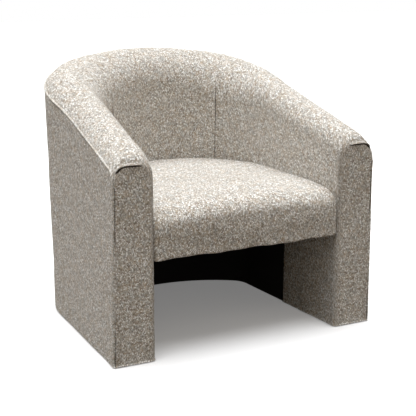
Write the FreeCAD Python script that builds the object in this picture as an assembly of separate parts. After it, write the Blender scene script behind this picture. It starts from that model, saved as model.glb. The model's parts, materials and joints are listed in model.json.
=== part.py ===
import FreeCAD, Part
import math
import os

# Tub chair: one upholstered U-shaped wall round a crowned, sprung seat.
# Millimetres, +Z up. The chair faces -Y and is symmetric about X = 0.
# While it is built, Y = 0 is the front face of the arms. The finished pieces
# are moved so that the origin is the bottom centre of the whole chair.

# Outside of the wall
chair_width = 800.0         # over the welts, at the front of the floor line
outer_apex_depth = 700.0          # outside of the back at the floor, behind the front face
side_taper = 0.044          # each side draws in by this much per unit of depth
side_flare = 0.014          # each side draws in by this much per unit of height
outer_corner_radius = 237.0
outer_back_radius = 900.0
back_lean = 0.10            # the outside of the back leans out per unit of height

# Top line of the wall
front_crest_height = 551.0         # crest of the arm, its slope carried on to the front face
arm_slope = 0.27
back_rise_height = 25.0            # extra height that the crest gains round the back
nose_radius = 45.0          # rounding of the arm top down into its front face
arm_crest_inset_width = 62.0      # from the outer face in to the crest, on the arms
arm_welt_drop_height = 43.0        # from the crest down to the welt, on the arms
back_crest_inset_width = 80.0
back_welt_drop_height = 30.0

# Inside of the wall above the seat
arm_thickness = 120.0       # from the widest part of the chair in to the seat
sitting_taper = 0.0757
sitting_corner_share = 0.857        # radii as shares of the half width
sitting_back_share = 1.0714
sitting_apex_depth = 575.0
inner_back_lean = 0.05

# Inside of the wall below the seat
leg_thickness = 120.0       # from the widest part of the chair in to the leg's inner side
leg_taper = 0.063
leg_corner_radius = 60.0
leg_back_radius = 388.0
leg_apex_depth = 571.0
fabric_depth = 250.0        # the legs' inner sides are fabric to here, black lining behind

# Heights
ground_gap = 4.0            # the covers end this far above the floor
seat_hem_height = 270.0
deck_height = 345.0         # where the inside of the wall above the seat begins

# Layers and the air between them
cover_thickness = 2.0
lining_thickness = 1.0
front_pad_thickness = 5.5
wrap_thickness = 25.0
board_thickness = 4.0
leg_board_thickness = 5.0
layer_gap = 0.4
contact_gap = 0.3
seam_gap = 0.5

# Welts and folds
welt_radius = 2.6
welt_height_above_cover = 3.0            # the welt stands this far out of the cover
welt_gap = 0.5
fold_radius = 2.0
fold_drop_height = 16.0            # fold below the top of the arm's nose
fold_inner_turn = 35.0      # degrees past the crest to the fold's inner end

# Frame
rail_thickness = 22.0
post_thickness = 22.0
top_rail_drop_height = 60.0        # from the crest down to the top rail
middle_post_depth = 165.0
corner_post_angle = 14.0
back_post_angle = 62.0
seat_rail_width = 25.0
seat_rail_height = 65.0
rear_rail_depth = 452.0     # front of the rear seat rail, behind the front face
block_leg_length = 55.0
block_height = 40.0

# Webbing across the inside of the back
strap_width = 50.0
strap_thickness = 2.0
strap_count = 4
strap_first_height = 372.0
strap_spacing = 64.0

# Seat
seat_gap = 0.8              # between the seat and the wall round it
seat_setback_depth = 1.0
seat_side_height = 384.0    # where the seat's sides start to round over
seat_crown_rise_height = 34.0      # the crown of the seat above its sides
seat_front_radius = 40.0
seat_edge_radius = 22.0     # how far the rounded sides draw in
crown_side_inset_width = 150.0    # from the rounded sides to the flat middle of the crown
crown_front_inset_depth = 130.0
seat_wadding_thickness = 6.0
spring_pad_thickness = 3.0

# Sinuous springs
spring_wire_diameter = 3.6
spring_count = 6
spring_side_gap = 11.0      # between the outer springs and the side rails
spring_turns = 24
spring_half_width = 20.0
spring_inset_depth = 12.0         # end of a spring from the outer edge of its rail
clip_width = 16.0
clip_thickness = 1.5
clip_length = 6.0

# Glides and screws
glide_radius = 12.0
glide_pin_radius = 1.6
glide_pin_length = 15.0
glide_front_depth = 45.0
glide_angles = (20.0, 66.0)
screw_radius = 2.5
screw_head_radius = 5.0
screw_head_height = 3.0
screw_bite_length = 30.0           # how far a screw goes into its post
screw_heights = (290.0, 322.0)
hole_clearance = 0.3

# Turning centre of the slices round the back, and the seams, in degrees from the right side
turn_centre_depth = 317.0
seam_angle = 50.0
front_direction = -80.0

# Slices that each form is lofted through
NOSE_STEPS = 6
TURN_STEPS = 8
BACK_STEPS = 16
CROWN_SHARES = (0.0, 0.25, 0.5, 0.7, 0.84, 0.93, 0.98, 1.0)

OUT = "parts"
os.makedirs(OUT, exist_ok=True)

SLANT = math.hypot(1.0, arm_slope)
face_half_width = chair_width / 2 - welt_height_above_cover
sitting_half_width = chair_width / 2 - arm_thickness
sitting_corner_radius = sitting_corner_share * sitting_half_width
sitting_back_radius = sitting_back_share * sitting_half_width
leg_half_width = chair_width / 2 - leg_thickness
seat_crown_height = seat_side_height + seat_crown_rise_height
cover_back = cover_thickness + layer_gap            # depth where padding starts
wrap_back = cover_back + wrap_thickness
board_back = cover_back + board_thickness
core_outer = board_back + layer_gap                 # depth of the frame from outside
inner_board_front = wrap_back + layer_gap
core_inner = inner_board_front + board_thickness + contact_gap
leg_board_back = cover_back + leg_board_thickness
core_leg = leg_board_back + layer_gap
frame_front = cover_back + front_pad_thickness + layer_gap
base_rail_bottom = ground_gap + lining_thickness
base_rail_top = base_rail_bottom + rail_thickness
seat_rail_bottom = seat_hem_height + cover_thickness
seat_rail_top = seat_rail_bottom + seat_rail_height
seat_frame_front = seat_setback_depth + frame_front
spring_height = seat_rail_top + clip_thickness + contact_gap + spring_wire_diameter / 2
spring_pad_bottom = spring_height + spring_wire_diameter / 2 + clip_thickness + 2 * contact_gap
seat_foam_bottom = spring_pad_bottom + spring_pad_thickness + contact_gap
welt_depth = cover_thickness + layer_gap + welt_radius
outside_start = welt_depth + welt_radius + welt_gap


class PlanCurve:
    """Half of a U seen from above: a tapering side, a corner arc and a back arc."""

    def __init__(self, half_width, taper, corner, back, apex):
        self.half_width = half_width
        self.taper = taper
        self.corner = corner
        self.back = back
        self.apex = apex
        self.slant = math.hypot(1.0, taper)
        self.back_y = apex - back
        start = half_width - corner * self.slant
        a = 1.0 + taper ** 2
        b = -2.0 * (start * taper + self.back_y)
        c = start ** 2 + self.back_y ** 2 - (back - corner) ** 2
        self.corner_y = (-b + math.sqrt(b * b - 4 * a * c)) / (2 * a)
        self.corner_x = start - taper * self.corner_y
        self.side_end = (self.corner_x + corner / self.slant,
                         self.corner_y + corner * taper / self.slant)
        across = math.hypot(self.corner_x, self.corner_y - self.back_y)
        self.back_end = (self.corner_x / across * back,
                         self.back_y + (self.corner_y - self.back_y) / across * back)

    def inset(self, depth):
        return PlanCurve(self.half_width - depth * self.slant, self.taper,
                         self.corner - depth, self.back - depth, self.apex - depth)

    def side(self, y):
        return self.half_width - self.taper * y

    def reach(self, y0, angle):
        """Distance from (0, y0) to the curve, in a direction given in degrees."""
        c = abs(math.cos(math.radians(angle)))
        s = math.sin(math.radians(angle))
        to_side = (self.half_width - self.taper * y0) / (c + self.taper * s)
        if y0 + to_side * s <= self.side_end[1]:
            return to_side
        to_back = self.to_circle(y0, c, s, 0.0, self.back_y, self.back)
        if to_back * c <= self.back_end[0]:
            return to_back
        return self.to_circle(y0, c, s, self.corner_x, self.corner_y, self.corner)

    @staticmethod
    def to_circle(y0, c, s, x, y, radius):
        along = c * x + s * (y - y0)
        away = x * x + (y - y0) ** 2 - radius ** 2
        return along + math.sqrt(along ** 2 - away)

    def corner_middle(self):
        a = math.atan2(self.side_end[1] - self.corner_y, self.side_end[0] - self.corner_x)
        b = math.atan2(self.back_end[1] - self.corner_y, self.back_end[0] - self.corner_x)
        mid = (a + b) / 2
        return (self.corner_x + self.corner * math.cos(mid),
                self.corner_y + self.corner * math.sin(mid))

    def wire(self, z, front):
        """The closed outline at height z, with a straight front line."""
        right = [(self.side(front), front), self.side_end, self.corner_middle(), self.back_end]
        r = [FreeCAD.Vector(x, y, z) for x, y in right]
        m = [FreeCAD.Vector(-x, y, z) for x, y in right]
        apex = FreeCAD.Vector(0, self.apex, z)
        return Part.Wire([
            Part.LineSegment(m[0], r[0]).toShape(),
            Part.LineSegment(r[0], r[1]).toShape(),
            Part.Arc(r[1], r[2], r[3]).toShape(),
            Part.Arc(r[3], apex, m[3]).toShape(),
            Part.Arc(m[3], m[2], m[1]).toShape(),
            Part.LineSegment(m[1], m[0]).toShape(),
        ])

    def plate(self, low, high, front):
        face = Part.Face(self.wire(low, front))
        return face.extrude(FreeCAD.Vector(0, 0, high - low))


outer_plan = PlanCurve(face_half_width, side_taper, outer_corner_radius,
                       outer_back_radius, outer_apex_depth)
sitting_plan = PlanCurve(sitting_half_width, sitting_taper, sitting_corner_radius,
                         sitting_back_radius, sitting_apex_depth)
leg_plan = PlanCurve(leg_half_width, leg_taper, leg_corner_radius, leg_back_radius, leg_apex_depth)


class Station:
    """One upright slice through the wall, square to it.

    In a slice, n is the distance out from the middle of the chair and z the height.
    A depth is measured inwards from the finished surface of the covers."""

    def __init__(self, y0, angle=0.0):
        self.y0 = y0
        self.angle = angle
        self.cos = math.cos(math.radians(angle))
        self.sin = math.sin(math.radians(angle))
        turned = self.sin ** 2
        self.floor_reach = outer_plan.reach(y0, angle)
        self.sitting_reach = sitting_plan.reach(y0, angle)
        self.outer_lean = back_lean * turned - side_flare * (1 - turned)
        self.inner_lean = inner_back_lean * turned
        self.crest_inset = (arm_crest_inset_width
                            + (back_crest_inset_width - arm_crest_inset_width) * turned)
        self.welt_drop = arm_welt_drop_height + (back_welt_drop_height - arm_welt_drop_height) * turned
        self.outer_radius = (self.crest_inset ** 2 + self.welt_drop ** 2) / (2 * self.welt_drop)
        behind = y0 + (self.floor_reach - self.crest_inset) * self.sin
        self.line_crest = front_crest_height + arm_slope * behind + back_rise_height * self.sin ** 4
        self.crest_reach = self.outer(self.line_crest - self.welt_drop) - self.crest_inset
        room = self.crest_reach - self.inner(self.line_crest)
        self.inner_radius = room / (math.hypot(1.0, self.inner_lean) - self.inner_lean)
        self.rail_top = self.line_crest - top_rail_drop_height
        self.rail_bottom = self.rail_top - rail_thickness
        self.welt_height = self.rounded(self.line_crest - self.welt_drop,
                                        nose_radius - welt_depth, welt_depth, 0.0)

    def point(self, n, z):
        return FreeCAD.Vector(n * self.cos, self.y0 + n * self.sin, z)

    def rounded(self, line, radius, front, depth):
        """Height of a sloping line at this slice, rounded down into the plane y = front."""
        if self.sin == 0 and self.y0 < front + radius * (1 - arm_slope / SLANT):
            start = line + arm_slope * (front + radius - self.y0) - (radius + depth) * SLANT
            return start + math.sqrt(max(radius ** 2 - (front + radius - self.y0) ** 2, 0.0))
        return line - depth * SLANT

    def crest(self, depth=0.0):
        return self.rounded(self.line_crest, nose_radius - depth, depth, depth)

    def outer(self, z, depth=0.0):
        return self.floor_reach + self.outer_lean * z - depth

    def inner(self, z, depth=0.0):
        return (self.sitting_reach + self.inner_lean * (z - deck_height)
                + depth * math.hypot(1.0, self.inner_lean))

    def leg(self, depth=0.0):
        return leg_plan.inset(-depth).reach(self.y0, self.angle)

    def over(self, depth=0.0, skip=0.0):
        """Arc from the welt up to the crest. skip leaves room for the welt."""
        radius = self.outer_radius - depth
        low = self.crest(depth) - radius
        start = math.asin((self.crest_inset - depth) / radius) - skip / self.outer_radius
        return [(self.crest_reach + radius * math.sin(a), low + radius * math.cos(a))
                for a in (start, start / 2, 0.0)]

    def into(self, depth=0.0, end=None):
        """Arc from the crest over to the inside face, or part of it."""
        radius = self.inner_radius - depth
        low = self.crest(depth) - radius
        if end is None:
            end = math.pi / 2 - math.atan(self.inner_lean)
        return [(self.crest_reach - radius * math.sin(a), low + radius * math.cos(a))
                for a in (0.0, end / 2, end)]


def slice_wire(station, path):
    """A closed wire in the slice. Two points make a line and three an arc."""
    edges = []
    for points in path:
        v = [station.point(n, z) for n, z in points]
        if len(v) == 2:
            edges.append(Part.LineSegment(v[0], v[1]).toShape())
        else:
            edges.append(Part.Arc(v[0], v[1], v[2]).toShape())
    return Part.Wire(edges)


def polygon(points):
    return [(points[i], points[(i + 1) % len(points)]) for i in range(len(points))]


def loft(stations, section, ruled=False):
    return Part.makeLoft([slice_wire(s, section(s)) for s in stations], True, ruled, False)


def mirrored(shape):
    return shape.mirror(FreeCAD.Vector(0, 0, 0), FreeCAD.Vector(1, 0, 0))


def nose_depths(front, depth):
    """Depths of the slices from front to the end of the nose, for a surface at this depth."""
    radius = nose_radius - depth
    first = math.acos(min(1.0, (nose_radius - front) / radius))
    last = math.atan2(1.0, arm_slope)
    step = (last - first) / NOSE_STEPS
    return [nose_radius - radius * math.cos(first + step * i) for i in range(NOSE_STEPS + 1)]


def seam_stop(angle, side):
    """The slice angle half a seam gap short of (-1) or past (+1) a seam."""
    reach = outer_plan.reach(turn_centre_depth, angle)
    return angle + side * math.degrees(seam_gap / 2 / reach)


def turn_slices(steps=TURN_STEPS):
    """Slices round the right corner, from the end of the straight arm to the seam."""
    last = seam_stop(seam_angle, -1)
    return [Station(turn_centre_depth, last * i / steps) for i in range(steps + 1)]


def back_slices(steps=BACK_STEPS):
    first = seam_stop(seam_angle, 1)
    step = (180.0 - 2 * first) / steps
    return [Station(turn_centre_depth, first + step * i) for i in range(steps + 1)]


def arm_run(starts, section):
    """A piece along the straight arm and round its corner to the seam."""
    straight = loft([Station(y) for y in starts] + [Station(turn_centre_depth)], section, ruled=True)
    return straight.fuse(loft(turn_slices(), section))


def over_the_nose(section, front, depth):
    """A piece that starts in the nose, in short flat steps."""
    return arm_run(nose_depths(front, depth), section)


def box(x0, y0, z0, x1, y1, z1):
    return Part.makeBox(x1 - x0, y1 - y0, z1 - z0, FreeCAD.Vector(x0, y0, z0))


pieces = {}


def both_sides(name, shape):
    pieces[name + "_right"] = shape
    pieces[name + "_left"] = mirrored(shape)


# Covers of the wall
def top_and_inside(station):
    """Thin section from the welt over the top and down the inside."""
    skip = welt_radius + welt_gap
    low = deck_height + layer_gap
    outside = (station.over(0.0, skip), station.into(0.0), (station.inner(low), low))
    hidden = (station.over(cover_thickness, skip), station.into(cover_thickness),
              (station.inner(low, cover_thickness), low))
    return [outside[0], outside[1], (outside[1][2], outside[2]), (outside[2], hidden[2]),
            (hidden[2], hidden[1][2]), hidden[1][::-1], hidden[0][::-1],
            (hidden[0][0], outside[0][0])]


def arm_front(depth, hem):
    """Section of the whole arm from the hem up, at this depth all round."""
    def section(station):
        over = station.over(depth)
        into = station.into(depth)
        outer_hem = (station.outer(hem, depth), hem)
        inner_hem = (station.leg(depth), hem)
        deck = (station.leg(depth), deck_height)
        return [(outer_hem, over[0]), over, into, (into[2], deck), (deck, inner_hem),
                (inner_hem, outer_hem)]
    return section


def front_plate(front, back, hem):
    """Solid slice of the arm's front between two depths."""
    radius = nose_radius - front
    turn = math.acos((nose_radius - back) / radius)
    depths = [nose_radius - radius * math.cos(turn * i / 3) for i in range(4)]
    return loft([Station(y) for y in depths], arm_front(front, hem), ruled=True)


arm_inside = over_the_nose(top_and_inside, cover_thickness, cover_thickness)
both_sides("inside_arm_cover", arm_inside.fuse(front_plate(0.0, cover_thickness, ground_gap)))
pieces["inside_back_cover"] = loft(back_slices(), top_and_inside)
both_sides("arm_front_pad", front_plate(cover_back, cover_back + front_pad_thickness,
                                        base_rail_bottom))


def outside_sheet(low, top, front, back):
    """Thin upright section just inside the outer face, up to a height given by top."""
    def section(station):
        high = top(station)
        return polygon([(station.outer(low, front), low), (station.outer(high, front), high),
                        (station.outer(high, back), high), (station.outer(low, back), low)])
    return section


def below_welt(station):
    return station.rounded(station.line_crest - station.welt_drop,
                           nose_radius - outside_start, outside_start, welt_radius + welt_gap)


def below_wrap(station):
    return station.rail_top


outside_cover = outside_sheet(ground_gap, below_welt, 0.0, cover_thickness)
outside_board = outside_sheet(base_rail_bottom, below_wrap, cover_back, board_back)
both_sides("outside_arm_cover", over_the_nose(outside_cover, outside_start, 0.0))
pieces["outside_back_cover"] = loft(back_slices(), outside_cover)
both_sides("outside_arm_board", arm_run([frame_front], outside_board))
pieces["outside_back_board"] = loft(back_slices(), outside_board)


def leg_band(low, high, front, back, start):
    """Band round the inner side of the legs, between two depths, open at the front."""
    outer = leg_plan.inset(-back).plate(low, high, start)
    room = leg_plan.inset(-front).plate(low - 1.0, high + 1.0, start - back)
    return outer.cut(room)


def sector(first, last):
    """All that lies between two directions from the turning centre, given in degrees."""
    far = 2 * chair_width
    ring = [FreeCAD.Vector(0, turn_centre_depth, 0)]
    ring += [FreeCAD.Vector(far * math.cos(math.radians(a)),
                            turn_centre_depth + far * math.sin(math.radians(a)), 0)
             for a in (first, (first + last) / 2, last)]
    face = Part.Face(Part.makePolygon(ring + ring[:1]))
    return face.extrude(FreeCAD.Vector(0, 0, chair_width))


def split_at_seams(band):
    """The right part of a band, from the front to the seam, and its back part."""
    before = seam_stop(seam_angle, -1)
    after = seam_stop(seam_angle, 1)
    return (band.common(sector(front_direction, before)), band.common(sector(after, 180.0 - after)))


leg_cover_top = seat_hem_height - layer_gap
leg_side = leg_band(ground_gap, leg_cover_top, 0.0, cover_thickness, cover_back)
both_sides("leg_cover", leg_side.common(box(0.0, 0.0, 0.0, chair_width, fabric_depth,
                                            leg_cover_top)))
pieces["leg_lining"] = leg_band(ground_gap, leg_cover_top, 0.0, cover_thickness,
                                fabric_depth + seam_gap)
leg_board_side, leg_board_back_part = split_at_seams(
    leg_band(base_rail_bottom, deck_height - layer_gap, cover_back, leg_board_back, frame_front))
pieces["leg_back_board"] = leg_board_back_part


# Padding over the top and inside
def wrap_section(station):
    """Foam from the top rail's outer edge over the top and down the inside."""
    over = station.over(cover_back)
    into = station.into(cover_back)
    low = deck_height + layer_gap
    sill = station.rail_top + layer_gap
    outer_sill = (station.outer(sill, cover_back), sill)
    face_low = (station.inner(low, cover_back), low)
    back_low = (station.inner(low, wrap_back), low)
    back_high = (station.inner(sill, wrap_back), sill)
    return [(outer_sill, over[0]), over, into, (into[2], face_low), (face_low, back_low),
            (back_low, back_high), (back_high, outer_sill)]


both_sides("arm_wrap_foam", over_the_nose(wrap_section, frame_front, cover_back))
pieces["back_wrap_foam"] = loft(back_slices(), wrap_section)


def inner_board_section(station):
    low = deck_height + layer_gap
    high = station.rail_top
    front = inner_board_front
    back = front + board_thickness - contact_gap
    return polygon([(station.inner(low, front), low), (station.inner(high, front), high),
                    (station.inner(high, back), high), (station.inner(low, back), low)])


both_sides("inside_arm_board", arm_run([frame_front], inner_board_section))


def strap_section(low):
    def section(station):
        back = core_inner - contact_gap
        front = back - strap_thickness
        high = low + strap_width
        return polygon([(station.inner(low, front), low), (station.inner(high, front), high),
                        (station.inner(high, back), high), (station.inner(low, back), low)])
    return section


pieces["back_webbing"] = Part.makeCompound([
    loft(back_slices(), strap_section(strap_first_height + strap_spacing * i))
    for i in range(strap_count)])


# Frame of the wall
def base_rail_section(station):
    outer_low = station.outer(base_rail_bottom, core_outer)
    outer_high = station.outer(base_rail_top, core_outer)
    inner = station.leg(core_leg)
    return polygon([(inner, base_rail_bottom), (outer_low, base_rail_bottom),
                    (outer_high, base_rail_top), (inner, base_rail_top)])


def lining_section(station):
    inner = station.leg(cover_back)
    outer = station.outer(ground_gap, cover_back)
    return polygon([(inner, ground_gap), (outer, ground_gap),
                    (outer, base_rail_bottom), (inner, base_rail_bottom)])


def top_rail_section(station):
    high = station.rail_top
    low = station.rail_bottom
    return polygon([(station.inner(high, core_inner), high), (station.outer(high, core_outer), high),
                    (station.outer(low, core_outer), low), (station.inner(low, core_inner), low)])


def ruled_run(section):
    """Along the arm and round the tight corner of the legs, in short flat steps."""
    return loft([Station(frame_front)] + turn_slices(3 * TURN_STEPS), section, ruled=True)


base_rail_side = ruled_run(base_rail_section)
base_rail_back = loft(back_slices(), base_rail_section, True)
lining_strip_side = ruled_run(lining_section)
lining_strip_back = loft(back_slices(), lining_section, True)
both_sides("arm_top_rail", arm_run([frame_front], top_rail_section))
pieces["back_top_rail"] = loft(back_slices(), top_rail_section)


def post_outline(outer_low, outer_high, foot, deck, head, top):
    """Post outline: broad below the seat and stepped back for the padding above it."""
    low = base_rail_top
    step = deck_height
    return polygon([(foot, low), (outer_low, low), (outer_high, top), (head, top),
                    (deck, step), (foot, step)])


def arm_post_section(station):
    top = station.rail_bottom - layer_gap
    return post_outline(station.outer(base_rail_top, core_outer), station.outer(top, core_outer),
                        station.leg(core_leg), station.inner(deck_height, core_inner),
                        station.inner(top, core_inner), top)


def arm_post(front):
    ends = [Station(front), Station(front + post_thickness)]
    return loft(ends, arm_post_section, ruled=True)


def radial_post(angle):
    """A flat board in the slice at this angle, kept clear of the curved boards each side."""
    middle = Station(turn_centre_depth, angle)
    swing = math.degrees(math.atan2(post_thickness / 2, middle.leg()))
    near = [Station(turn_centre_depth, angle + swing * k / 2) for k in (-2, -1, 0, 1, 2)]
    top = min(s.rail_bottom for s in near) - layer_gap
    outline = post_outline(min(s.outer(base_rail_top, core_outer) for s in near),
                           min(s.outer(top, core_outer) for s in near),
                           max(s.leg(core_leg) for s in near),
                           max(s.inner(deck_height, core_inner) for s in near),
                           max(s.inner(top, core_inner) for s in near), top)
    normal = FreeCAD.Vector(-middle.sin, middle.cos, 0)
    face = Part.Face(slice_wire(middle, outline))
    face.translate(normal * (-post_thickness / 2))
    return face.extrude(normal * post_thickness)


both_sides("arm_front_post", arm_post(frame_front))
middle_post = arm_post(middle_post_depth)
corner_post = radial_post(corner_post_angle)
both_sides("back_post", radial_post(back_post_angle))


# Seat frame
def slab(points, low, high):
    """Upright prism on a plan polygon."""
    ring = [FreeCAD.Vector(x, y, low) for x, y in points]
    return Part.Face(Part.makePolygon(ring + ring[:1])).extrude(
        FreeCAD.Vector(0, 0, high - low))


def board_face(y):
    """Half width between the leg boards at this depth, less a contact gap."""
    return leg_plan.side(y) + cover_back - contact_gap


front_rail_back = seat_frame_front + seat_rail_width
side_rail_front = front_rail_back + contact_gap
side_rail_back = rear_rail_depth - contact_gap
rear_rail_back = rear_rail_depth + seat_rail_width
front_rail_half = (board_face(seat_frame_front), board_face(front_rail_back))
pieces["front_seat_rail"] = slab([(-front_rail_half[0], seat_frame_front),
                                  (front_rail_half[0], seat_frame_front),
                                  (front_rail_half[1], front_rail_back),
                                  (-front_rail_half[1], front_rail_back)],
                                 seat_rail_bottom, seat_rail_top)
behind_boards = leg_plan.inset(-cover_back + contact_gap)
rear_room = behind_boards.plate(seat_rail_bottom, seat_rail_top, 0.0)
rear_block = box(-leg_half_width, rear_rail_depth, seat_rail_bottom,
                 leg_half_width, rear_rail_back, seat_rail_top)
pieces["rear_seat_rail"] = rear_block.common(rear_room)
side_rail = slab([(board_face(side_rail_front), side_rail_front),
                  (board_face(side_rail_back), side_rail_back),
                  (board_face(side_rail_back) - seat_rail_width, side_rail_back),
                  (board_face(side_rail_front) - seat_rail_width, side_rail_front)],
                 seat_rail_bottom, seat_rail_top)


def corner_block(y, turn):
    """Glue block between a side rail and the rail at y; turn is +1 in front, -1 behind."""
    def edge(v):
        return board_face(v) - seat_rail_width - contact_gap
    high = seat_rail_top - clip_thickness
    return slab([(edge(y), y), (edge(y + turn * block_leg_length), y + turn * block_leg_length),
                 (edge(y) - block_leg_length, y)], high - block_height, high)


front_block = corner_block(side_rail_front, 1)
rear_corner_block = corner_block(side_rail_back, -1)
pieces["corner_blocks"] = Part.makeCompound([front_block, mirrored(front_block),
                                             rear_corner_block, mirrored(rear_corner_block)])


# Seat springs
def sinuous_spring(x):
    """A zigzag wire from the front rail to the rear rail."""
    start = seat_frame_front + spring_inset_depth
    end = rear_rail_back - spring_inset_depth
    pitch = (end - start) / spring_turns
    bend = pitch / 2
    half = spring_half_width - bend
    z = spring_height
    edges = []
    for i in range(spring_turns + 1):
        y = start + pitch * i
        side = 1 if i % 2 == 0 else -1
        edges.append(Part.LineSegment(FreeCAD.Vector(x - side * half, y, z),
                                      FreeCAD.Vector(x + side * half, y, z)).toShape())
        if i < spring_turns:
            edges.append(Part.Arc(FreeCAD.Vector(x + side * half, y, z),
                                  FreeCAD.Vector(x + side * (half + bend), y + bend, z),
                                  FreeCAD.Vector(x + side * half, y + pitch, z)).toShape())
    path = Part.Wire(edges)
    ring = Part.Circle(FreeCAD.Vector(x - half, start, z), FreeCAD.Vector(1, 0, 0),
                       spring_wire_diameter / 2).toShape()
    return path.makePipeShell([Part.Wire([ring])], True, False)


def spring_clip(x, y, turn):
    """Clip on the rail that hooks over a spring's end; turn is +1 at the front rail."""
    plate_low = seat_rail_top
    plate_high = plate_low + clip_thickness
    lip_low = spring_height + spring_wire_diameter / 2 + contact_gap
    lip_high = lip_low + clip_thickness
    back = y - turn * (spring_wire_diameter / 2 + contact_gap)
    profile = [(back - turn * clip_thickness, plate_low), (back + turn * 2 * clip_length, plate_low),
               (back + turn * 2 * clip_length, plate_high), (back, plate_high), (back, lip_low),
               (back + turn * clip_length, lip_low), (back + turn * clip_length, lip_high),
               (back - turn * clip_thickness, lip_high)]
    ring = [FreeCAD.Vector(x - clip_width / 2, v, z) for v, z in profile]
    return Part.Face(Part.makePolygon(ring + ring[:1])).extrude(
        FreeCAD.Vector(clip_width, 0, 0))


outer_spring = (board_face(rear_rail_depth) - seat_rail_width - spring_side_gap
                - spring_half_width)
spring_places = [outer_spring * (2 * i / (spring_count - 1) - 1) for i in range(spring_count)]
pieces["seat_springs"] = Part.makeCompound([sinuous_spring(x) for x in spring_places])
pieces["spring_clips"] = Part.makeCompound(
    [spring_clip(x, seat_frame_front + spring_inset_depth, 1) for x in spring_places]
    + [spring_clip(x, rear_rail_back - spring_inset_depth, -1) for x in spring_places])

# Seat padding and cover
seat_plan = sitting_plan.inset(seat_gap)


def crown_levels():
    """Inset of the sides, setback of the front, and height, from the hem up to the crown."""
    front_start = seat_crown_height - seat_front_radius
    levels = [(0.0, 0.0, seat_hem_height), (0.0, 0.0, seat_side_height - seat_front_radius / 2)]
    for share in CROWN_SHARES:
        z = seat_side_height + seat_crown_rise_height * share
        inset = seat_edge_radius * (1 - math.sqrt(1 - share ** 2)) + crown_side_inset_width * share ** 6
        up = min(max(z - front_start, 0.0) / seat_front_radius, 1.0)
        setback = (seat_front_radius * (1 - math.sqrt(1 - up ** 2))
                   + crown_front_inset_depth * up ** 12)
        levels.append((inset, setback, z))
    return levels


def seat_form(depth, bottom):
    """The crowned seat, at this depth inside its finished surface."""
    wires = []
    for inset, setback, z in crown_levels():
        outline = seat_plan.inset(inset + depth)
        height = bottom if z == seat_hem_height else z - depth
        wires.append(outline.wire(height, seat_setback_depth + setback + depth))
    return Part.makeLoft(wires, True, True, False)


def above(z):
    return box(-chair_width, -chair_width, z, chair_width, 2 * chair_width, chair_width)


def seat_shell(outer_depth, inner_depth, rim):
    """A hollow crowned skin, open below the rim."""
    skin = seat_form(outer_depth, seat_hem_height).cut(
        seat_form(inner_depth, seat_hem_height - outer_depth - cover_thickness))
    return skin.common(above(rim))


wadding_depth = cover_thickness + layer_gap
foam_depth = wadding_depth + seat_wadding_thickness + layer_gap
front_wall = box(-seat_plan.side(0.0) + seam_gap, seat_setback_depth, seat_hem_height,
                 seat_plan.side(0.0) - seam_gap, seat_setback_depth + cover_thickness,
                 seat_foam_bottom)
pieces["seat_cover"] = seat_shell(0.0, cover_thickness, seat_foam_bottom).fuse(front_wall)
pieces["seat_wadding"] = seat_shell(wadding_depth, foam_depth - layer_gap, seat_foam_bottom)
pieces["seat_foam"] = seat_form(foam_depth, seat_hem_height).common(above(seat_foam_bottom))
pieces["seat_front_pad"] = box(-front_rail_half[1] + seam_gap, seat_setback_depth + cover_back,
                               seat_rail_bottom, front_rail_half[1] - seam_gap,
                               seat_frame_front - layer_gap, seat_foam_bottom - layer_gap)
pieces["spring_pad"] = seat_plan.inset(foam_depth).plate(
    spring_pad_bottom, spring_pad_bottom + spring_pad_thickness, seat_frame_front)
pieces["seat_dust_cover"] = behind_boards.plate(
    seat_rail_bottom - contact_gap - lining_thickness, seat_rail_bottom - contact_gap,
    seat_setback_depth + cover_back)


# Welts and folds
def tube(points, outward, radius):
    """Round tube through the points, with its sections turned square to the path."""
    wires = []
    for i, p in enumerate(points):
        along = points[min(i + 1, len(points) - 1)] - points[max(i - 1, 0)]
        along.normalize()
        u = outward[i] - along * outward[i].dot(along)
        u.normalize()
        v = along.cross(u)
        ring = [p + u * (radius * math.cos(a)) + v * (radius * math.sin(a))
                for a in (math.radians(60 * k) for k in range(6))]
        wires.append(Part.Wire([Part.Arc(ring[k], ring[k + 1], ring[(k + 2) % 6]).toShape()
                                for k in (0, 2, 4)]))
    return Part.makeLoft(wires, True, True, False)


def welt_place(station):
    n = station.outer(station.welt_height) + welt_height_above_cover - welt_radius
    return station.point(n, station.welt_height)


def welt_on_arm():
    foot = Station(welt_depth)
    out = welt_height_above_cover - welt_radius
    upright = [foot.point(foot.outer(ground_gap) + out, ground_gap)]
    radius = nose_radius - welt_depth
    turn = math.atan2(1.0, arm_slope)
    steps = 2 * NOSE_STEPS
    bend = [Station(welt_depth + radius * (1 - math.cos(turn * i / steps)))
            for i in range(steps + 1)]
    run = bend + turn_slices(4 * TURN_STEPS)
    points = upright + [welt_place(s) for s in run]
    outward = [FreeCAD.Vector(s.cos, s.sin, 0) for s in [foot] + run]
    return tube(points, outward, welt_radius)


both_sides("arm_welt", welt_on_arm())
welt_slices = back_slices(3 * BACK_STEPS)
pieces["back_welt"] = tube([welt_place(s) for s in welt_slices],
                           [FreeCAD.Vector(s.cos, s.sin, 0) for s in welt_slices], welt_radius)


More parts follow.
